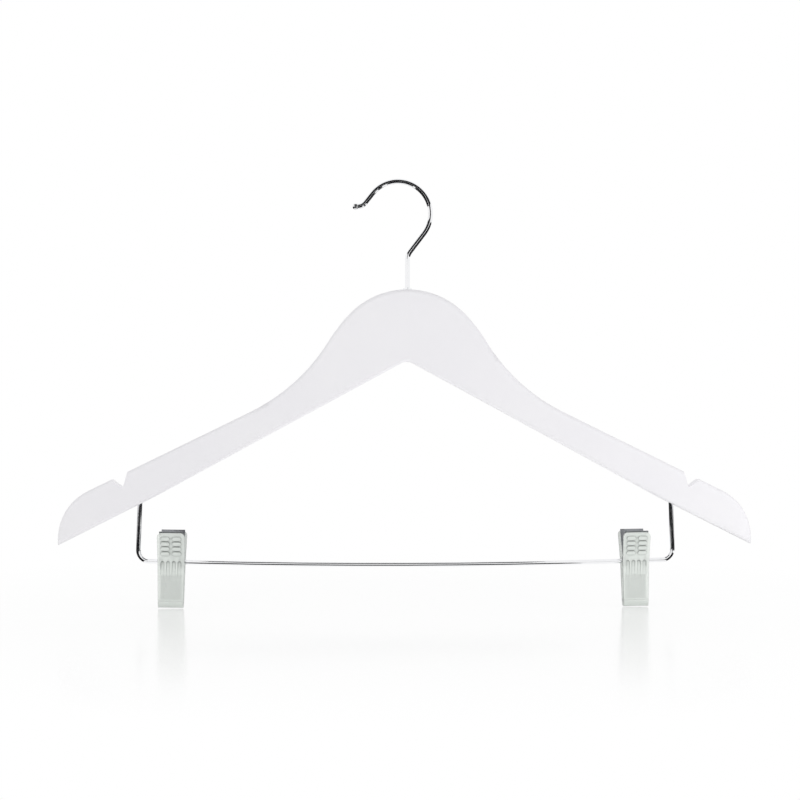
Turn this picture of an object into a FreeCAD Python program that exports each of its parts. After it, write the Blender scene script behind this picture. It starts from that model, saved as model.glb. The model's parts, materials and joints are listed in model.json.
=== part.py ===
"""Wooden skirt hanger: swivel wire hook, flat wooden arms, wire skirt bar and two sprung clips.

Frame: millimetres, +Z up, the front of the hanger faces -Y and +X is to the right seen from the front.
The origin is where the hook bears on a rail: the highest point of the inside of its bow.
"""
import FreeCAD, Part
import math
import os
import Sketcher

doc = FreeCAD.newDocument("SkirtHanger")
Vector = FreeCAD.Vector
Rotation = FreeCAD.Rotation
Placement = FreeCAD.Placement

# Two measures closer than this count as equal
CLOSE = 0.001

DIMENSIONS = [
    # Hook wire: the bow's centre is the hook's own centre, angles are in degrees
    ("hook_wire_dia", 3.2),
    ("bow_radius", 20.9),
    ("bow_entry_angle", 37.2),
    ("bow_exit_angle", 38.0),
    ("stem_offset", 6.1),
    ("stem_bend_radius", 8.4),
    ("tip_reach", 27.2),
    ("tip_rise", 4.6),
    ("tip_bend_radius", 6.0),
    ("tip_ball_dia", 4.3),
    ("crown_drop", 48.8),
    ("rivet_head_dia", 5.6),
    ("rivet_head_height", 1.6),
    # Ferrule in the crown and washer over the riveted end of the stem
    ("ferrule_flange_dia", 6.0),
    ("ferrule_flange_height", 1.2),
    ("ferrule_tube_dia", 4.6),
    ("ferrule_length", 10.0),
    ("ferrule_sink", 0.2),
    ("ferrule_bevel", 0.4),
    ("swivel_clearance", 0.08),
    ("washer_dia", 8.0),
    ("washer_thickness", 1.0),
    ("stem_bore_clearance", 0.3),
    ("washer_pocket_depth", 6.0),
    ("washer_pocket_clearance", 0.1),
    # Wooden body, measured from the crown's top on the stem axis
    ("wood_thickness", 12.0),
    ("edge_round", 2.4),
    ("dome_radius", 51.5),
    ("dome_angle", 46.3),
    ("shoulder_radius", 102.6),
    ("shoulder_angle", 57.9),
    ("shoulder_run", 2.4),
    ("hollow_radius", 121.0),
    ("arm_angle", 26.1),
    ("notch_inset", 44.1),
    ("notch_wall_lean", 2.9),
    ("notch_depth", 10.6),
    ("notch_width", 10.3),
    ("notch_round", 1.2),
    ("end_run", 4.0),
    ("tip_x", 222.5),
    ("end_depth", 25.2),
    ("knee_inset", 62.4),
    ("knee_depth", 24.4),
    ("knee_round", 300.0),
    ("apex_drop", 46.4),
    ("apex_round", 7.8),
    ("nose_length", 10.0),
    ("nose_radius", 28.0),
    # Skirt bar: one bent wire, bowed a little, legs in blind holes of the arms
    ("bar_wire_dia", 2.9),
    ("bar_hang", 35.6),
    ("bar_bow_radius", 5070.0),
    ("bar_inset", 50.4),
    ("bar_corner_radius", 7.0),
    ("leg_hole_depth", 12.0),
    ("leg_hole_clearance", 0.05),
    ("leg_end_gap", 0.5),
    # Clips: pivot on the bar, heights above and below the bar's axis
    ("left_clip_inset", 21.4),
    ("right_clip_inset", 24.8),
    ("clip_travel_in", 130.0),
    ("clip_travel_out", 5.0),
    ("clip_top", 19.3),
    ("clip_bottom", 28.9),
    ("clip_top_width", 17.7),
    ("clip_bottom_width", 16.0),
    ("clip_corner_round", 3.0),
    ("clip_top_depth", 23.0),
    ("clip_root_depth", 11.2),
    ("clip_jaw_depth", 8.4),
    ("clip_wall", 1.7),
    ("plate_edge_round", 0.75),
    ("jaw_shoulder_drop", 5.2),
    ("bar_bore_clearance", 0.42),
    ("knuckle_wall", 1.4),
    ("knuckle_width", 2.3),
    ("knuckle_gap", 0.3),
    ("jaw_cavity", 1.9),
    ("lip_height", 4.5),
    ("lip_bulge", 0.5),
    ("lip_gap", 0.8),
    ("lip_bevel", 0.85),
    ("lip_round", 0.7),
    ("flute_count", 4),
    ("flute_pitch", 3.6),
    ("flute_width", 2.2),
    ("flute_depth", 0.6),
    ("flute_length", 17.0),
    ("ridge_rows", 4),
    ("ridge_columns", 2),
    ("ridge_row_pitch", 3.35),
    ("ridge_column_pitch", 7.3),
    ("ridge_length", 5.6),
    ("ridge_width", 2.5),
    ("ridge_height", 0.8),
    ("ridge_corner", 0.75),
    ("ridge_sink", 0.1),
    ("ridge_first_below_top", 3.9),
    # Flat spring between the thumb plates, and the soft pads in the jaws
    ("spring_thickness", 0.5),
    ("spring_width", 15.1),
    ("spring_bend_radius", 2.0),
    ("spring_seat_gap", 0.3),
    ("spring_rise", 0.6),
    ("pad_top", 8.4),
    ("pad_height", 15.6),
    ("pad_width", 13.4),
    ("pad_gap", 0.3),
    ("pad_teeth", 6),
    ("pad_tooth_depth", 0.35),
]


def make_sheet():
    sheet = doc.addObject("Spreadsheet::Sheet", "Dims")
    for row, (alias, value) in enumerate(DIMENSIONS, start=1):
        sheet.set(f"A{row}", alias)
        sheet.set(f"B{row}", str(value))
        sheet.setAlias(f"B{row}", alias)
    doc.recompute()
    return sheet


dims = make_sheet()


def size(alias):
    return float(dims.get(alias))


# Sketch helpers: points are (x, y) pairs in the sketch's own plane

def flat(point):
    return Vector(point[0], point[1], 0)


def line(start, end):
    return Part.LineSegment(flat(start), flat(end))


def arc(centre, radius, first_angle, last_angle):
    """Anticlockwise arc, angles in degrees."""
    circle = Part.Circle(flat(centre), Vector(0, 0, 1), radius)
    return Part.ArcOfCircle(circle, math.radians(first_angle), math.radians(last_angle))


def polar(centre, radius, angle):
    turn = math.radians(angle)
    return (centre[0] + radius * math.cos(turn), centre[1] + radius * math.sin(turn))


def step(start, heading, length):
    return polar(start, length, heading)


def turn_arc(start, heading, radius, turn):
    """Arc that leaves start along heading and turns left by turn degrees, or right if it is negative."""
    side = 90 if turn > 0 else -90
    centre = polar(start, radius, heading + side)
    first = heading - side
    end = polar(centre, radius, first + turn)
    piece = arc(centre, radius, min(first, first + turn), max(first, first + turn))
    return piece, end, heading + turn


def heading_of(start, end):
    return math.degrees(math.atan2(end[1] - start[1], end[0] - start[0]))


def rounded_path(corners, closed):
    """Lines through corners given as (x, y, round), with a tangent arc at each corner whose round is over 0."""
    count = len(corners)
    cuts = []
    for index, (x, y, radius) in enumerate(corners):
        inner = closed or 0 < index < count - 1
        if not inner or radius == 0:
            cuts.append(((x, y), None, (x, y)))
            continue
        before = corners[index - 1]
        after = corners[(index + 1) % count]
        arrive = heading_of(before, (x, y))
        leave = heading_of((x, y), after)
        turn = (leave - arrive + 180) % 360 - 180
        back = radius * math.tan(math.radians(abs(turn)) / 2)
        start = step((x, y), arrive + 180, back)
        piece, end, _ = turn_arc(start, arrive, radius, turn)
        cuts.append((start, piece, end))
    pieces = []
    for index in range(count):
        if cuts[index][1] is not None:
            pieces.append(cuts[index][1])
        if closed or index < count - 1:
            pieces.append(line(cuts[index][2], cuts[(index + 1) % count][0]))
    return pieces


def draw(sketch, pieces, closed=True):
    """Add the pieces in order and tie each one's end to the next one's start."""
    first = sketch.GeometryCount
    for piece in pieces:
        sketch.addGeometry(piece, False)
    count = len(pieces)
    pairs = [(index, (index + 1) % count) for index in range(count if closed else count - 1)]
    for here, there in pairs:
        ends = []
        for here_end in (1, 2):
            for there_end in (1, 2):
                a = sketch.getPoint(first + here, here_end)
                b = sketch.getPoint(first + there, there_end)
                ends.append((a.distanceToPoint(b), here_end, there_end))
        _, here_end, there_end = min(ends)
        sketch.addConstraint(Sketcher.Constraint("Coincident", first + here, here_end, first + there, there_end))


def bind_radius(sketch, index, expression, value):
    number = sketch.addConstraint(Sketcher.Constraint("Radius", index, value))
    sketch.setExpression(f"Constraints[{number}]", expression)


# Body helpers

def new_body(label):
    body = doc.addObject("PartDesign::Body", label)
    body.Label = label
    return body


def new_sketch(body, name, plane, offset=Placement()):
    sketch = body.newObject("Sketcher::SketchObject", f"{body.Name}_{name}")
    origin_plane = [item for item in body.Origin.OriginFeatures if item.Role == plane][0]
    sketch.AttachmentSupport = [(origin_plane, "")]
    sketch.MapMode = "FlatFace"
    sketch.AttachmentOffset = offset
    return sketch


def new_feature(body, kind, name, sketch):
    feature = body.newObject(f"PartDesign::{kind}", f"{body.Name}_{name}")
    feature.Profile = sketch
    return feature


def pad_both_ways(body, name, sketch, expression):
    pad = new_feature(body, "Pad", name, sketch)
    pad.SideType = "Symmetric"
    pad.setExpression("Length", expression)
    return pad


def cut_through(body, name, sketch):
    pocket = new_feature(body, "Pocket", name, sketch)
    pocket.Type = "ThroughAll"
    pocket.SideType = "Symmetric"
    return pocket


def mirror(body, name, features, plane):
    mirrored = body.newObject("PartDesign::Mirrored", f"{body.Name}_{name}")
    mirrored.Originals = features
    mirrored.MirrorPlane = ([item for item in body.Origin.OriginFeatures if item.Role == plane][0], [""])
    body.Tip = mirrored
    return mirrored


def spin(body, kind, name, sketch, axis):
    feature = new_feature(body, kind, name, sketch)
    feature.ReferenceAxis = (sketch, [axis])
    feature.Angle = 360
    return feature


# Values worked out from the sheet that several pieces share

HOOK_CENTRE_Z = -(size("bow_radius") - size("hook_wire_dia") / 2)
CROWN = Placement(Vector(size("stem_offset"), 0, HOOK_CENTRE_Z - size("crown_drop")), Rotation())
WASHER_TOP = -size("apex_drop") + size("washer_pocket_depth")


def place_on_crown(body):
    """Pieces drawn about the crown's top on the stem axis."""
    body.Placement = CROWN
    body.setExpression("Placement.Base.x", "Dims.stem_offset")
    body.setExpression("Placement.Base.z", "Dims.hook_wire_dia / 2 - Dims.bow_radius - Dims.crown_drop")


# Hook

def hook_path():
    """Stem, stem bend, slanting neck, round bow and turned-out tip, with the bow's centre at 0, 0."""
    bow = size("bow_radius")
    entry = -size("bow_entry_angle")
    leave = 180 - size("bow_exit_angle")
    stem_x = size("stem_offset")
    enter_point = polar((0, 0), bow, entry)
    exit_point = polar((0, 0), bow, leave)
    neck_slope = math.tan(math.radians(90 + entry))
    corner = (stem_x, enter_point[1] - (enter_point[0] - stem_x) * neck_slope)
    stem_foot = (stem_x, -size("crown_drop") + WASHER_TOP - size("washer_thickness"))
    lower = [(*stem_foot, 0), (*corner, size("stem_bend_radius")), (*enter_point, 0)]
    tip_drop = exit_point[1] - size("tip_rise")
    tip_slope = math.tan(math.radians(90 - size("bow_exit_angle")))
    tip_corner = (exit_point[0] - tip_drop / tip_slope, size("tip_rise"))
    tip = (-size("tip_reach"), size("tip_rise"))
    upper = [(*exit_point, 0), (*tip_corner, size("tip_bend_radius")), (*tip, 0)]
    pieces = rounded_path(lower, False) + [arc((0, 0), bow, entry, leave)] + rounded_path(upper, False)
    return pieces, stem_foot, tip


def make_hook():
    body = new_body("hook")
    pieces, foot, tip = hook_path()
    path = new_sketch(body, "path", "XZ_Plane")
    draw(path, pieces, False)
    bind_radius(path, 1, "Dims.stem_bend_radius", size("stem_bend_radius"))
    bind_radius(path, 3, "Dims.bow_radius", size("bow_radius"))
    section = new_sketch(body, "section", "XY_Plane", Placement(Vector(foot[0], 0, foot[1]), Rotation()))
    section.addGeometry(Part.Circle(Vector(), Vector(0, 0, 1), size("hook_wire_dia") / 2), False)
    section.addConstraint(Sketcher.Constraint("Coincident", 0, 3, -1, 1))
    bind_radius(section, 0, "Dims.hook_wire_dia / 2", size("hook_wire_dia") / 2)
    wire = new_feature(body, "AdditivePipe", "wire", section)
    wire.Spine = (path, [])
    doc.recompute()
    ball = body.newObject("PartDesign::AdditiveSphere", "hook_tip_ball")
    ball.setExpression("Radius", "Dims.tip_ball_dia / 2")
    ball.Placement = Placement(Vector(tip[0], 0, tip[1]), Rotation())
    head = body.newObject("PartDesign::AdditiveCylinder", "hook_rivet_head")
    head.setExpression("Radius", "Dims.rivet_head_dia / 2")
    head.setExpression("Height", "Dims.rivet_head_height")
    head.Placement = Placement(Vector(foot[0], 0, foot[1] - size("rivet_head_height")), Rotation())
    body.Placement = Placement(Vector(0, 0, HOOK_CENTRE_Z), Rotation())
    body.setExpression("Placement.Base.z", "Dims.hook_wire_dia / 2 - Dims.bow_radius")
    return body


# Ferrule and washer on the stem

def make_ferrule():
    body = new_body("crown_ferrule")
    bore = size("hook_wire_dia") / 2 + size("swivel_clearance")
    tube = size("ferrule_tube_dia") / 2
    flange = size("ferrule_flange_dia") / 2
    seat = -size("ferrule_sink")
    top = seat + size("ferrule_flange_height")
    bevel = size("ferrule_bevel")
    crest = top - bevel
    foot = seat - size("ferrule_length")
    corners = [(bore, foot, 0), (tube, foot, 0), (tube, seat, 0), (flange, seat, 0),
               (flange, crest, 0), (flange - bevel, top, 0), (bore, top, 0)]
    profile = new_sketch(body, "profile", "XZ_Plane")
    draw(profile, rounded_path(corners, True))
    spin(body, "Revolution", "turned", profile, "V_Axis")
    place_on_crown(body)
    return body


def make_washer():
    body = new_body("hook_washer")
    face = new_sketch(body, "face", "XY_Plane", Placement(Vector(0, 0, WASHER_TOP), Rotation()))
    inner = size("hook_wire_dia") / 2 + size("swivel_clearance")
    for radius, expression in ((size("washer_dia") / 2, "Dims.washer_dia / 2"),
                               (inner, "Dims.hook_wire_dia / 2 + Dims.swivel_clearance")):
        index = face.addGeometry(Part.Circle(Vector(), Vector(0, 0, 1), radius), False)
        face.addConstraint(Sketcher.Constraint("Coincident", index, 3, -1, 1))
        bind_radius(face, index, expression, radius)
    pad = new_feature(body, "Pad", "disc", face)
    pad.Reversed = True
    pad.setExpression("Length", "Dims.washer_thickness")
    place_on_crown(body)
    return body


# Lines of the arms that the wooden body, its notches and the bar share, with the crown's top at 0, 0

def crown_curve():
    """Top edge from the crown to the arm: dome, shoulder, short steep run and hollow, and where the arm starts."""
    dome, point, heading = turn_arc((0, 0), 0, size("dome_radius"), -size("dome_angle"))
    fall = size("dome_angle") - size("shoulder_angle")
    shoulder, run_start, heading = turn_arc(point, heading, size("shoulder_radius"), fall)
    run_end = step(run_start, heading, size("shoulder_run"))
    hollow_turn = size("shoulder_angle") - size("arm_angle")
    hollow, arm_start, _ = turn_arc(run_end, heading, size("hollow_radius"), hollow_turn)
    return [dome, shoulder, line(run_start, run_end), hollow], arm_start


def arm_top(x):
    """Height of the straight top edge of an arm, or of its run-on, at x."""
    _, arm_start = crown_curve()
    return arm_start[1] - (x - arm_start[0]) * math.tan(math.radians(size("arm_angle")))


def arm_point(inset, depth):
    """Point of an arm's underside: so far in from the tip and so deep below the top edge."""
    x = size("tip_x") - inset
    return (x, arm_top(x) - depth)


def arm_tip():
    return arm_point(0, size("end_depth"))


def arm_knee():
    return arm_point(size("knee_inset"), size("knee_depth"))


def end_slope():
    """Slope of the underside from the knee to the tip."""
    knee, tip = arm_knee(), arm_tip()
    return (tip[1] - knee[1]) / (tip[0] - knee[0])


def underside(x):
    """Height of the underside's outer stretch, or of its run-on, at x."""
    knee = arm_knee()
    return knee[1] + end_slope() * (x - knee[0])


# Skirt bar, drawn from the middle of the bow to the right and mirrored

def bar_rise(x):
    """How far the bowed bar's axis lies above its middle at x."""
    bow = size("bar_bow_radius")
    return bow - math.sqrt(bow * bow - x * x)


def leg_reach():
    """Where a leg's line meets the bar, as a distance from the hanger's middle."""
    return size("tip_x") - size("bar_inset")


def bar_level():
    """Height of the bar's middle: its ends hang a set distance below the arms' undersides."""
    x = leg_reach()
    return underside(x) - size("bar_hang") - bar_rise(x)


def leg_line():
    """Corner where bar and leg would meet, and the leg's heading, square to the end of the bow."""
    x = leg_reach()
    slope = math.degrees(math.asin(x / size("bar_bow_radius")))
    return (x, bar_rise(x) + bar_level()), 90 + slope


def leg_length_in_wood():
    return size("leg_hole_depth") - size("leg_end_gap")


def leg_entry():
    """Point of the leg's axis where it enters the underside of the arm."""
    corner, heading = leg_line()
    run = math.radians(heading)
    length = (underside(corner[0]) - corner[1]) / (math.sin(run) - end_slope() * math.cos(run))
    return step(corner, heading, length)


def make_skirt_bar():
    body = new_body("skirt_bar")
    corner, heading = leg_line()
    bow = size("bar_bow_radius")
    bend = size("bar_corner_radius")
    bend_start = heading - 90 - math.degrees(math.asin(bend / bow))
    start = polar((0, bow + bar_level()), bow, -90 + bend_start)
    corner_arc, leg_start, _ = turn_arc(start, bend_start, bend, heading - bend_start)
    leg_end = step(leg_entry(), heading, leg_length_in_wood())
    path = new_sketch(body, "path", "XZ_Plane")
    bow_arc = arc((0, bow + bar_level()), bow, -90, -90 + bend_start)
    draw(path, [bow_arc, corner_arc, line(leg_start, leg_end)], False)
    bind_radius(path, 1, "Dims.bar_corner_radius", bend)
    section = new_sketch(body, "section", "YZ_Plane", Placement(Vector(0, bar_level(), 0), Rotation()))
    section.addGeometry(Part.Circle(Vector(), Vector(0, 0, 1), size("bar_wire_dia") / 2), False)
    section.addConstraint(Sketcher.Constraint("Coincident", 0, 3, -1, 1))
    bind_radius(section, 0, "Dims.bar_wire_dia / 2", size("bar_wire_dia") / 2)
    half = new_feature(body, "AdditivePipe", "half", section)
    half.Spine = (path, [])
    mirror(body, "whole", [half], "YZ_Plane")
    place_on_crown(body)
    return body


# Wooden body

def body_outline():
    """Right half of the wooden body seen from the front, with the crown's top at 0, 0."""
    pieces, arm_start = crown_curve()
    tip = arm_tip()
    end_corner = (tip[0], arm_top(tip[0]))
    end_back = end_corner[1] - tip[1] - size("end_run")
    end_radius = end_back / math.tan(math.radians(90 - size("arm_angle")) / 2)
    knee = arm_knee()
    apex = (0, -size("apex_drop"))
    round_centre = (0, apex[1] - size("apex_round"))
    to_knee = math.hypot(knee[0], knee[1] - round_centre[1])
    lean = heading_of(round_centre, knee) + math.degrees(math.acos(size("apex_round") / to_knee))
    round_end = polar(round_centre, size("apex_round"), lean)
    corners = [(*arm_start, 0), (*end_corner, end_radius), (*tip, 0), (*knee, size("knee_round")),
               (*round_end, 0)]
    pieces += rounded_path(corners, False)
    pieces.append(arc(round_centre, size("apex_round"), lean, 90))
    pieces.append(line(apex, (0, 0)))
    return pieces


def trim_nose(body):
    """Front and back of each arm's end run in towards the tip on a large radius."""
    half = size("wood_thickness") / 2
    length = size("nose_length")
    radius = size("nose_radius")
    start = size("tip_x") - length
    beyond = start + radius
    sketch = new_sketch(body, "nose", "XY_Plane")
    for side in (1, -1):
        centre = (start, side * (half - radius))
        curve = arc(centre, radius, 0, 90) if side > 0 else arc(centre, radius, -90, 0)
        corner = (beyond, side * half)
        draw(sketch, [curve, line((beyond, centre[1]), corner), line(corner, (start, side * half))])
    return cut_through(body, "nose_cut", sketch)


def is_wall(face):
    """True for the faces that run straight from the front to the back."""
    surface = face.Surface
    along = abs(surface.Axis.y)
    return along < CLOSE if isinstance(surface, Part.Plane) else along > 1 - CLOSE


def round_edges(body, base):
    """Round every edge of the outline on the front, the back and the noses."""
    doc.recompute()
    names = []
    for index, edge in enumerate(base.Shape.Edges, start=1):
        walls = [is_wall(face) for face in base.Shape.ancestorsOfType(edge, Part.Face)]
        if walls.count(True) == 1 and walls.count(False) == 1:
            names.append(f"Edge{index}")
    fillet = body.newObject("PartDesign::Fillet", "wooden_body_edges")
    fillet.Base = (base, names)
    fillet.setExpression("Radius", "Dims.edge_round")
    return fillet


def cut_notches(body):
    """Shoulder notches for straps: a steep inner wall, a round floor and a sloping outer wall."""
    reach = size("tip_x") - size("notch_inset")
    lip = arm_top(reach)
    floor = (reach + size("notch_wall_lean"), lip - size("notch_depth"))
    outer = (reach + size("notch_width"), arm_top(reach + size("notch_width")))
    above = lip + size("notch_depth")
    corners = [(reach - size("notch_wall_lean"), above, 0), (*floor, size("notch_round")), (*outer, 0),
               (outer[0] + size("notch_wall_lean"), above, 0)]
    sketch = new_sketch(body, "notch", "XZ_Plane")
    draw(sketch, rounded_path(corners, True))
    notch = cut_through(body, "notch_cut", sketch)
    return mirror(body, "notches", [notch], "YZ_Plane")


def bore_stem(body):
    """Stepped bore on the stem axis: ferrule seat, stem bore and washer pocket."""
    wire = size("hook_wire_dia") / 2
    flange = size("ferrule_flange_dia") / 2
    tube = size("ferrule_tube_dia") / 2
    bore = wire + size("stem_bore_clearance")
    pocket = size("washer_dia") / 2 + size("washer_pocket_clearance")
    seat = -size("ferrule_sink")
    above = size("ferrule_flange_height")
    tube_end = seat - size("ferrule_length")
    below = -size("apex_drop") - size("washer_dia")
    corners = [(0, above), (flange, above), (flange, seat), (tube, seat), (tube, tube_end), (bore, tube_end),
               (bore, WASHER_TOP), (pocket, WASHER_TOP), (pocket, below), (0, below)]
    sketch = new_sketch(body, "stem_bore", "XZ_Plane")
    draw(sketch, rounded_path([(*corner, 0) for corner in corners], True))
    return spin(body, "Groove", "stem_bore_cut", sketch, "V_Axis")


def bore_leg_holes(body):
    """Blind holes along the bar's legs."""
    _, heading = leg_line()
    entry = leg_entry()
    radius = size("bar_wire_dia") / 2 + size("leg_hole_clearance")
    outside = step(entry, heading + 180, size("bar_wire_dia") * 2)
    end = step(entry, heading, size("leg_hole_depth"))
    sketch = new_sketch(body, "leg_hole", "XZ_Plane")
    corners = [outside, end, step(end, heading - 90, radius), step(outside, heading - 90, radius)]
    draw(sketch, rounded_path([(*corner, 0) for corner in corners], True))
    axis = sketch.addGeometry(line(outside, end), True)
    sketch.addConstraint(Sketcher.Constraint("Coincident", axis, 1, 0, 1))
    sketch.addConstraint(Sketcher.Constraint("Coincident", axis, 2, 0, 2))
    hole = spin(body, "Groove", "leg_hole_cut", sketch, "Axis0")
    return mirror(body, "leg_holes", [hole], "YZ_Plane")


def make_wooden_body():
    body = new_body("wooden_body")
    outline = new_sketch(body, "outline", "XZ_Plane")
    draw(outline, body_outline())
    for index, alias in ((0, "dome_radius"), (1, "shoulder_radius"), (3, "hollow_radius")):
        bind_radius(outline, index, f"Dims.{alias}", size(alias))
    half = pad_both_ways(body, "half", outline, "Dims.wood_thickness")
    nose = trim_nose(body)
    whole = mirror(body, "whole", [half, nose], "YZ_Plane")
    round_edges(body, whole)
    cut_notches(body)
    bore_stem(body)
    bore_leg_holes(body)
    place_on_crown(body)
    return body


# Clips, drawn about the bar's axis: local X along the bar, Z up, the front half towards -Y

KNUCKLE_BORE = size("bar_wire_dia") / 2 + size("bar_bore_clearance")
KNUCKLE_ROUND = KNUCKLE_BORE + size("knuckle_wall")


def clip_placement(side):
    """Clips travel on a straight line that halves the bow's rise over their travel."""
    bow = size("bar_bow_radius")
    reach = leg_reach() - size("left_clip_inset" if side < 0 else "right_clip_inset")
    inner = reach - size("clip_travel_in")
    outer = reach + size("clip_travel_out")
    slope = (bar_rise(outer) - bar_rise(inner)) / (outer - inner)
    chord = bar_rise(inner) + slope * (reach - inner)
    sag = (outer - inner) ** 2 / (8 * bow)
    base = Vector(side * reach, 0, chord - sag / 2 + bar_level())
    tilt = Rotation(Vector(0, 1, 0), -side * math.degrees(math.atan(slope)))
    return CROWN.multiply(Placement(base, tilt))


def thumb_lean():
    """Slope of the thumb plates, as degrees from upright."""
    return math.degrees(math.atan2((size("clip_top_depth") - size("clip_root_depth")) / 2, size("clip_top")))


def half_profile():
    """Side view of the rear half, (y, z): thumb plate above the pivot, jaw with its lip below."""
    root = size("clip_root_depth") / 2
    top = size("clip_top")
    bottom = -size("clip_bottom")
    lean = math.radians(thumb_lean())
    across = size("clip_wall") / math.cos(lean)
    jaw = size("clip_jaw_depth") / 2
    lip_top = bottom + size("lip_height")
    bulge = jaw - size("jaw_cavity") + size("lip_bulge")
    cavity = size("jaw_cavity")
    lip_face = size("lip_gap") / 2
    outer_top = size("clip_top_depth") / 2
    nose = (lip_face + cavity + bulge) / 2
    crest = lip_top - size("lip_bevel")
    edge = size("plate_edge_round")
    lip_round = size("lip_round")
    return [(outer_top, top, edge), (outer_top - across, top, edge), (root - across, 0, 0),
            (cavity, -size("jaw_shoulder_drop"), 0), (cavity, lip_top, 0), (lip_face, crest, 0),
            (lip_face, bottom, lip_round), (nose, bottom, lip_round), (cavity + bulge, crest, 0),
            (jaw, lip_top, 0), (root, 0, 0)]


def to_side(corners, facing):
    """Mirror a profile drawn for the rear half, facing 1, to the front half, facing -1."""
    return [(facing * y, z, radius) for y, z, radius in corners]


def taper_sides(body):
    """Trim both sides to the tapered front outline with rounded top corners."""
    top = size("clip_top")
    bottom = -size("clip_bottom")
    wide = size("clip_top_width") / 2
    narrow = size("clip_bottom_width") / 2
    beyond = wide + size("clip_wall")
    above = top + size("clip_wall")
    below = bottom - size("clip_wall")
    sketch = new_sketch(body, "taper", "XZ_Plane")
    for side in (1, -1):
        corners = [(0, above, 0), (0, top, 0), (side * wide, top, size("clip_corner_round")),
                   (side * narrow, bottom, 0), (side * narrow, below, 0), (side * beyond, below, 0),
                   (side * beyond, above, 0)]
        draw(sketch, rounded_path(corners, True))
    return cut_through(body, "taper_cut", sketch)


def add_knuckles(body, facing):
    """Lugs that carry the half on the bar: two outer ones in front, two inner ones behind."""
    reach = size("clip_root_depth") / 2 - size("clip_wall") / 2
    width = size("knuckle_width")
    outer_end = size("clip_bottom_width") / 2
    first = outer_end - width if facing < 0 else outer_end - 2 * width - size("knuckle_gap")
    for side, name in ((1, "right"), (-1, "left")):
        offset = Placement(Vector(0, 0, side * (first + width / 2)), Rotation())
        lug = new_sketch(body, f"lug_{name}", "YZ_Plane", offset)
        pieces = [arc((0, 0), KNUCKLE_ROUND, 90, 270) if facing > 0 else arc((0, 0), KNUCKLE_ROUND, -90, 90)]
        y = facing * reach
        pieces += rounded_path([(0, -KNUCKLE_ROUND * facing, 0), (y, -KNUCKLE_ROUND * facing, 0),
                                (y, KNUCKLE_ROUND * facing, 0), (0, KNUCKLE_ROUND * facing, 0)], False)
        draw(lug, pieces)
        pad_both_ways(body, f"knuckle_{name}", lug, "Dims.knuckle_width")
    bore = new_sketch(body, "bore", "YZ_Plane")
    bore.addGeometry(Part.Circle(Vector(), Vector(0, 0, 1), KNUCKLE_BORE), False)
    bore.addConstraint(Sketcher.Constraint("Coincident", 0, 3, -1, 1))
    bind_radius(bore, 0, "Dims.bar_wire_dia / 2 + Dims.bar_bore_clearance", KNUCKLE_BORE)
    return cut_through(body, "bore_cut", bore)


def flute_outline(x, top, length, half_width):
    """Upright slot with a round head and a square foot."""
    neck = top - half_width
    foot = top - length
    return [arc((x, neck), half_width, 0, 180), line((x - half_width, neck), (x - half_width, foot)),
            line((x - half_width, foot), (x + half_width, foot)), line((x + half_width, foot), (x + half_width, neck))]


def ridge_outline(x, y, half_length, half_width, cut):
    """Oblong with its corners cut off."""
    right = [(x + half_length, y - half_width + cut, 0), (x + half_length, y + half_width - cut, 0),
             (x + half_length - cut, y + half_width, 0)]
    left = [(x - half_length + cut, y + half_width, 0), (x - half_length, y + half_width - cut, 0),
            (x - half_length, y - half_width + cut, 0)]
    foot = [(x - half_length + cut, y - half_width, 0), (x + half_length - cut, y - half_width, 0)]
    return rounded_path(right + left + foot, True)


def spread(count, pitch):
    return [(index - (count - 1) / 2) * pitch for index in range(int(count))]


def cut_flutes(body, facing):
    """Upright flutes that start at the pivot and run out where the jaw slopes in."""
    floor = size("clip_root_depth") / 2 - size("flute_depth")
    half_width = size("flute_width") / 2
    offset = Placement(Vector(0, 0, -facing * floor), Rotation())
    sketch = new_sketch(body, "flutes", "XZ_Plane", offset)
    for x in spread(size("flute_count"), size("flute_pitch")):
        draw(sketch, flute_outline(x, half_width, size("flute_length"), half_width))
    pocket = new_feature(body, "Pocket", "flute_cut", sketch)
    pocket.Reversed = facing < 0
    pocket.setExpression("Length", "Dims.clip_root_depth")
    return pocket


def add_ridges(body, facing):
    """Rows of raised oblong grips on the thumb plate."""
    top = Vector(0, facing * size("clip_top_depth") / 2, size("clip_top"))
    about_face = Rotation(Vector(0, 0, 1), 0 if facing < 0 else 180)
    turn = about_face.multiply(Rotation(Vector(1, 0, 0), 90 + thumb_lean()))
    sunk = turn.multVec(Vector(0, 0, -size("ridge_sink")))
    sketch = body.newObject("Sketcher::SketchObject", f"{body.Name}_ridges")
    sketch.Placement = Placement(top + sunk, turn)
    for row in range(int(size("ridge_rows"))):
        y = -size("ridge_first_below_top") - row * size("ridge_row_pitch")
        for x in spread(size("ridge_columns"), size("ridge_column_pitch")):
            outline = ridge_outline(x, y, size("ridge_length") / 2, size("ridge_width") / 2, size("ridge_corner"))
            draw(sketch, outline)
    pad = new_feature(body, "Pad", "ridge_pad", sketch)
    pad.setExpression("Length", "Dims.ridge_height + Dims.ridge_sink")


def make_clip_half(label, facing, placement):
    body = new_body(label)
    profile = new_sketch(body, "profile", "YZ_Plane")
    draw(profile, rounded_path(to_side(half_profile(), facing), True))
    pad_both_ways(body, "plate", profile, "Dims.clip_top_width")
    cut_flutes(body, facing)
    taper_sides(body)
    add_knuckles(body, facing)
    add_ridges(body, facing)
    body.Placement = placement
    return body


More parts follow.
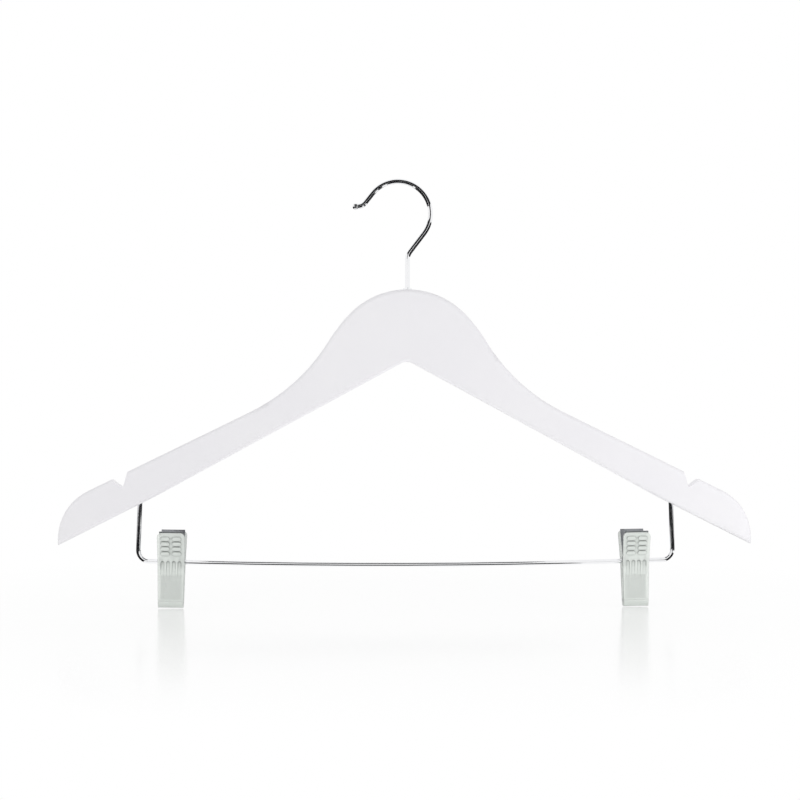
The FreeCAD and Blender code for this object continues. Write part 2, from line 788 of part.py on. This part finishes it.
def spring_profile():
    """Side view of the bent strip: legs from the thumb plates' top edges down to a round bend over the bar."""
    thick = size("spring_thickness")
    outer_round = size("spring_bend_radius") + thick
    centre = (0, KNUCKLE_ROUND + size("spring_seat_gap") + outer_round)
    lean = math.radians(thumb_lean())
    across = size("clip_wall") / math.cos(lean)
    top = size("clip_top") + size("spring_rise")
    plate_inside = size("clip_root_depth") / 2 - across + top * math.tan(lean)
    leg_top = (plate_inside - size("spring_seat_gap"), top)
    reach = math.hypot(leg_top[0] - centre[0], leg_top[1] - centre[1])
    leg_angle = heading_of(centre, leg_top) - math.degrees(math.acos(outer_round / reach))
    outer_foot = polar(centre, outer_round, leg_angle)
    inner_foot = polar(centre, size("spring_bend_radius"), leg_angle)
    inner_top = step(leg_top, leg_angle + 180, thick)

    def left(point):
        return (-point[0], point[1])

    return [arc(centre, outer_round, 180 - leg_angle, 360 + leg_angle), line(outer_foot, leg_top),
            line(leg_top, inner_top), line(inner_top, inner_foot),
            arc(centre, size("spring_bend_radius"), 180 - leg_angle, 360 + leg_angle),
            line(left(inner_foot), left(inner_top)), line(left(inner_top), left(leg_top)),
            line(left(leg_top), left(outer_foot))]


def make_spring(label, placement):
    body = new_body(label)
    profile = new_sketch(body, "profile", "YZ_Plane")
    draw(profile, spring_profile())
    pad_both_ways(body, "strip", profile, "Dims.spring_width")
    body.Placement = placement
    return body


def make_pad(label, facing, placement):
    """Soft pad on the inside of a jaw, with a toothed face."""
    body = new_body(label)
    back = size("jaw_cavity")
    face = size("pad_gap") / 2
    top = -size("pad_top")
    count = int(size("pad_teeth"))
    pitch = size("pad_height") / count
    corners = [(back, top, 0)]
    for tooth in range(count):
        crest = top - pitch * tooth
        corners.append((face, crest, 0))
        corners.append((face, crest - pitch / 2, 0))
        corners.append((face + size("pad_tooth_depth"), crest - pitch * 0.75, 0))
    corners.append((face, top - size("pad_height"), 0))
    corners.append((back, top - size("pad_height"), 0))
    profile = new_sketch(body, "profile", "YZ_Plane")
    draw(profile, rounded_path(to_side(corners, facing), True))
    pad_both_ways(body, "pad", profile, "Dims.pad_width")
    body.Placement = placement
    return body


def make_clip(name, side):
    placement = clip_placement(side)
    return [
        make_clip_half(f"{name}_clip_front", -1, placement),
        make_clip_half(f"{name}_clip_rear", 1, placement),
        make_spring(f"{name}_clip_spring", placement),
        make_pad(f"{name}_front_pad", -1, placement),
        make_pad(f"{name}_rear_pad", 1, placement),
    ]


def check(parts):
    for item in doc.Objects:
        if "Invalid" in item.State or "Error" in item.State:
            raise RuntimeError(f"{item.Label} failed: {item.State}")
    for part in parts:
        if part.Shape.isNull() or not part.Shape.isValid() or len(part.Shape.Solids) != 1:
            raise RuntimeError(f"{part.Label} is not one valid solid")


def write(parts):
    os.makedirs("parts", exist_ok=True)
    for part in parts:
        part.Shape.exportStep(f"parts/{part.Label}.step")


def main():
    parts = [make_hook(), make_ferrule(), make_washer(), make_wooden_body(), make_skirt_bar()]
    parts += make_clip("left", -1) + make_clip("right", 1)
    doc.recompute()
    check(parts)
    write(parts)


main()
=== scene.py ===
"""Skirt hanger in white lacquer: finishes, moulded clips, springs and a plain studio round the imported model.

Everything is in metres, +Z up, with the front of the hanger facing -Y.
"""
import json
import math
import bpy
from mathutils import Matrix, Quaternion, Vector

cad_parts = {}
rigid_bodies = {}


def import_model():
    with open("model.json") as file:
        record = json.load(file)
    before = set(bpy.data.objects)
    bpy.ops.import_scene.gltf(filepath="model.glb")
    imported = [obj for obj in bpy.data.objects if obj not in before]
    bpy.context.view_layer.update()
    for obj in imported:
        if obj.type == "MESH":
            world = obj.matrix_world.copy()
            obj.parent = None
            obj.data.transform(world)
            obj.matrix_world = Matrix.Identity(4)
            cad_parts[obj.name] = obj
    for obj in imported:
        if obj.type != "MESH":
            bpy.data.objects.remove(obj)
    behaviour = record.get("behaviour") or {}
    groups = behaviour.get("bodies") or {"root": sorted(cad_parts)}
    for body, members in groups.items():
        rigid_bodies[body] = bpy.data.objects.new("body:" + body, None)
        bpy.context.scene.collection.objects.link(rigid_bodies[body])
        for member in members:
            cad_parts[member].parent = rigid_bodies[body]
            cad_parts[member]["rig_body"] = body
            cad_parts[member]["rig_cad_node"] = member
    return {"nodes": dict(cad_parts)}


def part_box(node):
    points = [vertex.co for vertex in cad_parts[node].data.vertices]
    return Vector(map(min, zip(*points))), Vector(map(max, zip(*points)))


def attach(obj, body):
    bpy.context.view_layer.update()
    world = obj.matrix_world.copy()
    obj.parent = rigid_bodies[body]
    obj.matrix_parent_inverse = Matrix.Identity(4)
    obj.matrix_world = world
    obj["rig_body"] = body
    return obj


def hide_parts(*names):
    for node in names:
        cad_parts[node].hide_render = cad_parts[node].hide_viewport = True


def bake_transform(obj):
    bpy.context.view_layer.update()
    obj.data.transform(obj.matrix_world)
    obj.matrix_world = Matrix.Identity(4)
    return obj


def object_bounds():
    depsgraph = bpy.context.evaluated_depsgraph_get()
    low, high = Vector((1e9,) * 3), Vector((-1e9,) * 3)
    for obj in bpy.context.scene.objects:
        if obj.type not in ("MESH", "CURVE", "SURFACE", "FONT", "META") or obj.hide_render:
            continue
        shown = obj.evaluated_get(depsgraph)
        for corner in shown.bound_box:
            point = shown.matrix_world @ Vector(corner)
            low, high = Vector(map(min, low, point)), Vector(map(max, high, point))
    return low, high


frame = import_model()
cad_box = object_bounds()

MM = 0.001
SIDES = ("left", "right")

# The photograph's camera: level, a little to the left of the hook's stem, 1.15 m away
CAMERA_DISTANCE = 1150 * MM
CAMERA_YAW = math.radians(2.56)
CAMERA_ROLL = math.radians(-0.06)
CAMERA_BELOW_CROWN = 71.0 * MM
CAMERA_LEFT_OF_STEM = 4.7 * MM
PIXELS_PER_MM = 1.555
PICTURE_PIXELS = 800
SENSOR_WIDTH_MM = 36.0

# How copies of the solids get their rounded edges: these are the widest rounds, and short edges get less
PLATE_EDGE_ROUND = 0.22 * MM
PAD_EDGE_ROUND = 0.15 * MM
STRIP_EDGE_ROUND = 0.1 * MM
ROUND_SEGMENTS = 3
WELD_DISTANCE = 0.002 * MM
FLAT_ANGLE = math.radians(0.5)
SMOOTH_ANGLE = math.radians(30)
SHARP_ANGLE = math.radians(35)

# The clips: how far apart their ridge columns stand, and how far the painted shade in their corners reaches
RIDGE_COLUMNS_APART = 7.0 * MM
PAINTED_SHADE_REACH = 1.6 * MM

# The table: its shine and the object's shadow fade between the near and the far distance from its middle
FLOOR_LEVEL = cad_box[0].z - 0.5 * MM
UNDER_FLOOR = FLOOR_LEVEL - 1.0 * MM
FLOOR_SIZE = 12.0
FLOOR_IOR = 1.3
FLOOR_BLUR = 0.16
FLOOR_SHADOW = 0.1
FLOOR_NEAR = 0.16
FLOOR_FAR = 0.42

# Brightness of the table and of the white room as sources of light
TABLE_GLOW = 0.22
ROOM_GLOW = 0.55

# Lamps: name, place, width, and power in watts
LAMPS = (
    ("key_left", (-1.1, -1.2, 0.35), 1.0, 4.2),
    ("fill_right", (0.5, -0.32, -0.1), 0.35, 0.58),
    ("top_box", (0.1, -0.35, 1.1), 1.2, 2.8),
    ("back_box", (0.1, 1.2, 0.4), 1.0, 5.0),
)

# Cards that only reflections show: name, size, middle, and turn about X
LYING = 0.0
UPRIGHT = math.radians(-90)
UPSIDE_DOWN = math.radians(180)
CARDS = (
    # In front of the hook, for its dark bow
    ("card_above", (0.26, 0.27), (-0.005, -0.15, 0.03), UPSIDE_DOWN),
    ("card_brow", (0.26, 0.05), (-0.005, -0.285, 0.005), UPRIGHT),
    # In front of the bar between the clips, for its dark underside
    ("card_middle", (0.27, 0.45), (-0.01, -0.245, UNDER_FLOOR), LYING),
    # Before and behind the hanger
    ("card_room", (4.0, 2.2), (0.0, -1.45, UNDER_FLOOR), LYING),
    ("card_behind", (4.0, 2.0), (0.0, 1.5, UNDER_FLOOR), LYING),
    # Beyond the clips, for the bar's dark legs and its bend at the right
    ("card_left", (1.52, 0.9), (-0.94, 0.1, UNDER_FLOOR), LYING),
    ("card_right", (1.34, 0.9), (1.03, 0.1, UNDER_FLOOR), LYING),
    ("card_bend", (0.08, 0.9), (0.232, 0.1, UNDER_FLOOR), LYING),
)


def linear(hex_colour):
    """sRGB hex text to a linear RGBA colour."""
    channels = [int(hex_colour[i:i + 2], 16) / 255 for i in (1, 3, 5)]
    return (*[c / 12.92 if c <= 0.04045 else ((c + 0.055) / 1.055) ** 2.4 for c in channels], 1.0)


def add_node(tree, kind, inputs=None, **settings):
    """Add a node, set its properties, and set or link its inputs."""
    node = tree.nodes.new(kind)
    for name, value in settings.items():
        setattr(node, name, value)
    for name, value in (inputs or {}).items():
        if isinstance(value, bpy.types.NodeSocket):
            tree.links.new(value, node.inputs[name])
        else:
            node.inputs[name].default_value = value
    return node


def per_metre(size_mm):
    """Texture scale that gives features of this size."""
    return 1000 / size_mm


def new_material(name):
    """An empty material, its node tree, and the object coordinates that its textures use."""
    material = bpy.data.materials.new(name)
    material.use_nodes = True
    tree = material.node_tree
    tree.nodes.clear()
    place = add_node(tree, "ShaderNodeTexCoord").outputs["Object"]
    return material, tree, place


def close_material(tree, inputs):
    shader = add_node(tree, "ShaderNodeBsdfPrincipled", inputs)
    add_node(tree, "ShaderNodeOutputMaterial", {"Surface": shader.outputs["BSDF"]})


def white_lacquer():
    """Sprayed white lacquer on sanded beech: even, semi-gloss, with the grain just telling through."""
    material, tree, place = new_material("white_lacquer_on_beech")
    cloud = add_node(tree, "ShaderNodeTexNoise", {"Vector": place, "Scale": per_metre(60), "Detail": 2.0})
    colour = add_node(tree, "ShaderNodeMix", {"Factor": cloud.outputs["Fac"], "A": linear("#ECEBEF"),
                                              "B": linear("#F2F1F3")}, data_type="RGBA")
    along = add_node(tree, "ShaderNodeMapping",
                     {"Vector": place, "Scale": (per_metre(40), per_metre(2), per_metre(0.9))})
    grain = add_node(tree, "ShaderNodeTexNoise",
                     {"Vector": along.outputs["Vector"], "Scale": 1.0, "Detail": 3.0})
    peel = add_node(tree, "ShaderNodeTexNoise", {"Vector": place, "Scale": per_metre(1.6), "Detail": 1.0})
    height = add_node(tree, "ShaderNodeMath", {0: grain.outputs["Fac"], 1: peel.outputs["Fac"]},
                      operation="ADD")
    bump = add_node(tree, "ShaderNodeBump", {"Height": height.outputs["Value"], "Strength": 0.12,
                                             "Distance": 0.05 * MM})
    sheen = add_node(tree, "ShaderNodeMapRange",
                     {"Value": cloud.outputs["Fac"], "To Min": 0.3, "To Max": 0.4})
    close_material(tree, {"Base Color": colour.outputs["Result"], "Roughness": sheen.outputs["Result"],
                          "Normal": bump.outputs["Normal"], "IOR": 1.5})
    return material


def chrome_plate():
    """Bright chrome on drawn wire: mirror-like, with the faint haze that plating leaves."""
    material, tree, place = new_material("bright_chrome_on_wire")
    haze = add_node(tree, "ShaderNodeTexNoise", {"Vector": place, "Scale": per_metre(2.5), "Detail": 3.0})
    colour = add_node(tree, "ShaderNodeMix", {"Factor": haze.outputs["Fac"], "A": linear("#EEEFF1"),
                                              "B": linear("#F6F6F7")}, data_type="RGBA")
    dull = add_node(tree, "ShaderNodeMapRange",
                    {"Value": haze.outputs["Fac"], "To Min": 0.05, "To Max": 0.1})
    close_material(tree, {"Base Color": colour.outputs["Result"], "Roughness": dull.outputs["Result"],
                          "Metallic": 1.0})
    return material


def zinc_plate():
    """Zinc-plated steel: grey and satin, with a fine crystal mottle."""
    material, tree, place = new_material("zinc_plated_steel")
    spangle = add_node(tree, "ShaderNodeTexVoronoi", {"Vector": place, "Scale": per_metre(0.8)})
    colour = add_node(tree, "ShaderNodeMix", {"Factor": spangle.outputs["Distance"], "A": linear("#A9ACB1"),
                                              "B": linear("#C3C6C9")}, data_type="RGBA")
    dull = add_node(tree, "ShaderNodeMapRange",
                    {"Value": spangle.outputs["Distance"], "To Min": 0.3, "To Max": 0.45})
    close_material(tree, {"Base Color": colour.outputs["Result"], "Roughness": dull.outputs["Result"],
                          "Metallic": 1.0})
    return material


def spring_strip():
    """Rolled spring strip: grey steel with fine streaks from the rolls."""
    material, tree, place = new_material("rolled_spring_steel")
    along = add_node(tree, "ShaderNodeMapping",
                     {"Vector": place, "Scale": (per_metre(12), per_metre(0.4), per_metre(0.4))})
    streak = add_node(tree, "ShaderNodeTexNoise",
                      {"Vector": along.outputs["Vector"], "Scale": 1.0, "Detail": 2.0})
    colour = add_node(tree, "ShaderNodeMix", {"Factor": streak.outputs["Fac"], "A": linear("#86888B"),
                                              "B": linear("#A2A4A7")}, data_type="RGBA")
    dull = add_node(tree, "ShaderNodeMapRange",
                    {"Value": streak.outputs["Fac"], "To Min": 0.25, "To Max": 0.45})
    close_material(tree, {"Base Color": colour.outputs["Result"], "Roughness": dull.outputs["Result"],
                          "Metallic": 1.0})
    return material


def clear_plastic():
    """Moulded polycarbonate with a faint green-grey tint: partly see-through and slightly clouded.

    Its colour has painted shade: it is darker in its corners and on the faces turned sideways or down.
    """
    material, tree, place = new_material("moulded_clear_polycarbonate")
    flow = add_node(tree, "ShaderNodeTexNoise", {"Vector": place, "Scale": per_metre(6), "Detail": 2.0})
    tint = add_node(tree, "ShaderNodeMix", {"Factor": flow.outputs["Fac"], "A": linear("#F2F8F3"),
                                            "B": linear("#F7FBF7")}, data_type="RGBA")
    # Painted shade in the corners: the colour darkens where other surfaces of the piece lie close by
    corner = add_node(tree, "ShaderNodeAmbientOcclusion", {"Distance": PAINTED_SHADE_REACH}, samples=8,
                      only_local=True)
    shade = add_node(tree, "ShaderNodeMapRange",
                     {"Value": corner.outputs["AO"], "From Min": 0.3, "From Max": 0.9})
    # Painted shade on faces turned sideways or down, from their direction in the piece's own space
    normal = add_node(tree, "ShaderNodeTexCoord").outputs["Normal"]
    facing = add_node(tree, "ShaderNodeSeparateXYZ", {"Vector": normal})
    sideways = add_node(tree, "ShaderNodeMath", {0: facing.outputs["X"]}, operation="ABSOLUTE")
    down = add_node(tree, "ShaderNodeMath", {0: facing.outputs["Z"], 1: -1.0}, operation="MULTIPLY")
    turned = add_node(tree, "ShaderNodeMath", {0: sideways.outputs["Value"], 1: down.outputs["Value"]},
                      operation="MAXIMUM")
    painted_turn_shade = add_node(tree, "ShaderNodeMapRange", {"Value": turned.outputs["Value"], "From Min": 0.35,
                                                      "From Max": 0.9, "To Min": 1.0, "To Max": 0.3})
    light = add_node(tree, "ShaderNodeMath", {0: shade.outputs["Result"], 1: painted_turn_shade.outputs["Result"]},
                     operation="MULTIPLY")
    # The tint fades to this dark grey-green where the painted shade falls
    colour = add_node(tree, "ShaderNodeMix", {"Factor": light.outputs["Value"], "A": linear("#4C544E"),
                                              "B": tint.outputs["Result"]}, data_type="RGBA")
    cloud = add_node(tree, "ShaderNodeMapRange",
                     {"Value": flow.outputs["Fac"], "To Min": 0.16, "To Max": 0.26})
    close_material(tree, {"Base Color": colour.outputs["Result"], "Roughness": cloud.outputs["Result"],
                          "Alpha": 0.64, "IOR": 1.58})
    return material


def soft_vinyl():
    """Soft vinyl of the grip pads: dull, grey-green and clouded, so that little light comes through."""
    material, tree, place = new_material("soft_clear_vinyl")
    mottle = add_node(tree, "ShaderNodeTexNoise", {"Vector": place, "Scale": per_metre(1.2), "Detail": 3.0})
    colour = add_node(tree, "ShaderNodeMix", {"Factor": mottle.outputs["Fac"], "A": linear("#939C95"),
                                              "B": linear("#A4ACA6")}, data_type="RGBA")
    bump = add_node(tree, "ShaderNodeBump",
                    {"Height": mottle.outputs["Fac"], "Strength": 0.2, "Distance": 0.05 * MM})
    close_material(tree, {"Base Color": colour.outputs["Result"], "Roughness": 0.4, "IOR": 1.5,
                          "Alpha": 0.7, "Normal": bump.outputs["Normal"]})
    return material


def finish_with(piece, material):
    piece.data.materials.clear()
    piece.data.materials.append(material)


def pick_only(piece):
    bpy.ops.object.select_all(action="DESELECT")
    piece.select_set(True)
    bpy.context.view_layer.objects.active = piece


def moulded_copy(node, name, edge_round, cuts=()):
    """The node's own form with its sharp edges rounded as a mould leaves them.

    The cuts are the x of planes that split flat faces: a face that goes right round a ridge would tear.
    """
    pick_only(frame["nodes"][node])
    bpy.ops.object.duplicate(linked=False)
    piece = bpy.context.object
    piece.name = name
    bpy.ops.object.parent_clear(type="CLEAR_KEEP_TRANSFORM")
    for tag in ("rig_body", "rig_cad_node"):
        del piece[tag]
    bpy.ops.mesh.customdata_custom_splitnormals_clear()
    bpy.ops.object.mode_set(mode="EDIT")
    bpy.ops.mesh.select_all(action="SELECT")
    bpy.ops.mesh.remove_doubles(threshold=WELD_DISTANCE)
    bpy.ops.mesh.dissolve_limited(angle_limit=FLAT_ANGLE)
    for x in cuts:
        bpy.ops.mesh.select_all(action="SELECT")
        bpy.ops.mesh.bisect(plane_co=(x, 0, 0), plane_no=(1, 0, 0))
    bpy.ops.object.mode_set(mode="OBJECT")
    bevel = piece.modifiers.new("edge_round", "BEVEL")
    bevel.width = edge_round
    bevel.segments = ROUND_SEGMENTS
    bevel.limit_method = "ANGLE"
    bevel.angle_limit = SHARP_ANGLE
    bevel.miter_outer = "MITER_ARC"
    bpy.ops.object.modifier_apply(modifier=bevel.name)
    bpy.ops.object.shade_smooth_by_angle(angle=SMOOTH_ANGLE)
    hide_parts(node)
    return piece


def dress_cad_nodes(finishes):
    for node, finish in {"wooden_body": "lacquer", "hook": "chrome", "skirt_bar": "chrome",
                         "crown_ferrule": "chrome", "hook_washer": "zinc"}.items():
        finish_with(frame["nodes"][node], finishes[finish])


def make_clips(finishes):
    """Each front plate and its pad go with the clip, each rear plate and its pad with the jaw."""
    for side in SIDES:
        for half, body in (("front", f"{side}_clip"), ("rear", f"{side}_jaw")):
            node = f"{side}_clip_{half}"
            low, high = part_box(node)
            middle = (low.x + high.x) / 2
            cuts = (middle - RIDGE_COLUMNS_APART / 2, middle + RIDGE_COLUMNS_APART / 2)
            plate = moulded_copy(node, f"{side}_{half}_plate", PLATE_EDGE_ROUND, cuts)
            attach(plate, body)
            finish_with(plate, finishes["plastic"])
            pad = moulded_copy(f"{side}_{half}_pad", f"{side}_{half}_grip", PAD_EDGE_ROUND)
            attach(pad, body)
            finish_with(pad, finishes["vinyl"])


def make_springs(finishes):
    """A copy of each clip's spring strip with its edges rounded, its place baked into its mesh, and its
    finish.
    """
    for side in SIDES:
        node = f"{side}_clip_spring"
        strip = moulded_copy(node, f"{side}_spring_strip", STRIP_EDGE_ROUND)
        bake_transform(strip)
        finish_with(strip, finishes["spring"])


def make_camera():
    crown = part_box("wooden_body")[1].z
    stem_low, stem_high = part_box("crown_ferrule")
    stem_x = (stem_low.x + stem_high.x) / 2
    ahead = Vector((math.sin(CAMERA_YAW), math.cos(CAMERA_YAW), 0))
    right = Vector((ahead.y, -ahead.x, 0))
    target = Vector((stem_x, 0, crown - CAMERA_BELOW_CROWN)) - right * CAMERA_LEFT_OF_STEM
    data = bpy.data.cameras.new("photograph")
    data.sensor_width = SENSOR_WIDTH_MM
    data.lens = PIXELS_PER_MM * CAMERA_DISTANCE / MM * SENSOR_WIDTH_MM / PICTURE_PIXELS
    camera = bpy.data.objects.new("photograph", data)
    bpy.context.scene.collection.objects.link(camera)
    camera.location = target - ahead * CAMERA_DISTANCE
    roll = Quaternion(ahead, CAMERA_ROLL)
    camera.rotation_euler = (roll @ ahead.to_track_quat("-Z", "Y")).to_euler()
    bpy.context.scene.camera = camera


def stage_plane(name, size, location, turn, material, camera_sees):
    bpy.ops.object.select_all(action="DESELECT")
    bpy.ops.mesh.primitive_plane_add(size=1, location=location, rotation=(turn, 0, 0))
    plane = bpy.context.object
    plane.name = name
    plane.scale = (*size, 1)
    bpy.ops.object.transform_apply(location=False, rotation=False, scale=True)
    plane.visible_camera = camera_sees
    finish_with(plane, material)
    return plane


def close_one_sided(tree, front):
    """Show this shader from the front of a plane and nothing from its back."""
    back = add_node(tree, "ShaderNodeNewGeometry").outputs["Backfacing"]
    clear = add_node(tree, "ShaderNodeBsdfTransparent")
    one_sided = add_node(tree, "ShaderNodeMixShader", {0: back, 1: front, 2: clear.outputs["BSDF"]})
    add_node(tree, "ShaderNodeOutputMaterial", {"Surface": one_sided.outputs["Shader"]})


def seen_directly(tree):
    """1 for what the camera sees, straight or in gloss or clear plastic, and 0 for scattered light."""
    rays = add_node(tree, "ShaderNodeLightPath")
    seen = add_node(tree, "ShaderNodeMath",
                    {0: rays.outputs["Is Camera Ray"], 1: rays.outputs["Is Glossy Ray"]}, operation="MAXIMUM")
    seen = add_node(tree, "ShaderNodeMath",
                    {0: seen.outputs["Value"], 1: rays.outputs["Is Transmission Ray"]}, operation="MAXIMUM")
    return seen.outputs["Value"]


def make_floor():
    """White gloss table: white to the camera, with a faint reflection and the object's shadow.

    From below it is clear, so that the object can be seen from there too.
    """
    material, tree, place = new_material("white_gloss_table")
    grain = add_node(tree, "ShaderNodeTexNoise", {"Vector": place, "Scale": per_metre(400)})
    colour = add_node(tree, "ShaderNodeMix", {"Factor": grain.outputs["Fac"], "A": linear("#FAFAFA"),
                                              "B": linear("#FDFDFD")}, data_type="RGBA")
    matt = add_node(tree, "ShaderNodeBsdfDiffuse", {"Color": colour.outputs["Result"]})
    gloss = add_node(tree, "ShaderNodeBsdfGlossy", {"Color": linear("#FFFFFF"), "Roughness": FLOOR_BLUR})
    white = add_node(tree, "ShaderNodeEmission", {"Strength": 1.0})
    away = add_node(tree, "ShaderNodeVectorMath", {0: place}, operation="LENGTH")
    near = add_node(tree, "ShaderNodeMapRange", {"Value": away.outputs["Value"], "From Min": FLOOR_NEAR,
                                                 "From Max": FLOOR_FAR, "To Min": 1.0, "To Max": 0.0})
    grazing = add_node(tree, "ShaderNodeFresnel", {"IOR": FLOOR_IOR})
    shine = add_node(tree, "ShaderNodeMath", {0: grazing.outputs["Fac"], 1: near.outputs["Result"]},
                     operation="MULTIPLY")
    shadow = add_node(tree, "ShaderNodeMath", {0: near.outputs["Result"], 1: FLOOR_SHADOW},
                      operation="MULTIPLY")
    top = add_node(tree, "ShaderNodeMixShader", {0: shine.outputs["Value"], 1: white.outputs["Emission"],
                                                 2: gloss.outputs["BSDF"]})
    shaded = add_node(tree, "ShaderNodeMixShader", {0: shadow.outputs["Value"], 1: top.outputs["Shader"],
                                                    2: matt.outputs["BSDF"]})
    glow = add_node(tree, "ShaderNodeEmission", {"Strength": TABLE_GLOW})
    lit = add_node(tree, "ShaderNodeAddShader", {0: matt.outputs["BSDF"], 1: glow.outputs["Emission"]})
    both = add_node(tree, "ShaderNodeMixShader", {0: seen_directly(tree), 1: lit.outputs["Shader"],
                                                  2: shaded.outputs["Shader"]})
    close_one_sided(tree, both.outputs["Shader"])
    floor = stage_plane("floor", (FLOOR_SIZE, FLOOR_SIZE), (0, 0, FLOOR_LEVEL), LYING, material, True)
    floor.visible_glossy = False


def make_cards():
    """Dark cards that only reflections show, from their faces: they give the chrome its dark bands."""
    material, tree, place = new_material("black_card")
    nap = add_node(tree, "ShaderNodeTexNoise", {"Vector": place, "Scale": per_metre(20)})
    colour = add_node(tree, "ShaderNodeMix", {"Factor": nap.outputs["Fac"], "A": linear("#1E1E20"),
                                              "B": linear("#28282A")}, data_type="RGBA")
    dark = add_node(tree, "ShaderNodeBsdfDiffuse", {"Color": colour.outputs["Result"]})
    close_one_sided(tree, dark.outputs["BSDF"])
    for name, size, location, turn in CARDS:
        card = stage_plane(name, size, location, turn, material, False)
        card.visible_diffuse = False
        card.visible_transmission = False
        card.visible_shadow = False


def make_lamps():
    """Square lamps aimed at the middle of the hanger, which reflections don't show."""
    middle = Vector((0, 0, cad_box[0].z / 2))
    for name, place, width, power in LAMPS:
        data = bpy.data.lights.new(name, "AREA")
        data.shape = "SQUARE"
        data.size = width
        data.energy = power
        lamp = bpy.data.objects.new(name, data)
        bpy.context.scene.collection.objects.link(lamp)
        lamp.location = place
        lamp.rotation_euler = (middle - Vector(place)).to_track_quat("-Z", "Y").to_euler()
        lamp.visible_glossy = False


def make_world():
    """White to the camera and in reflections, and about half as bright as a source of light."""
    world = bpy.data.worlds.new("studio")
    bpy.context.scene.world = world
    world.use_nodes = True
    tree = world.node_tree
    tree.nodes.clear()
    glow = add_node(tree, "ShaderNodeBackground", {"Color": linear("#FFFFFF"), "Strength": ROOM_GLOW})
    white = add_node(tree, "ShaderNodeBackground", {"Color": linear("#FFFFFF"), "Strength": 1.0})
    mix = add_node(tree, "ShaderNodeMixShader", {0: seen_directly(tree), 1: glow.outputs["Background"],
                                                 2: white.outputs["Background"]})
    add_node(tree, "ShaderNodeOutputWorld", {"Surface": mix.outputs["Shader"]})


def make_studio():
    make_world()
    make_floor()
    make_cards()
    make_lamps()
    bpy.context.scene.view_settings.view_transform = "Standard"


def main():
    finishes = {"lacquer": white_lacquer(), "chrome": chrome_plate(), "zinc": zinc_plate(),
                "spring": spring_strip(), "plastic": clear_plastic(), "vinyl": soft_vinyl()}
    dress_cad_nodes(finishes)
    make_clips(finishes)
    make_springs(finishes)
    make_camera()
    make_studio()


main()
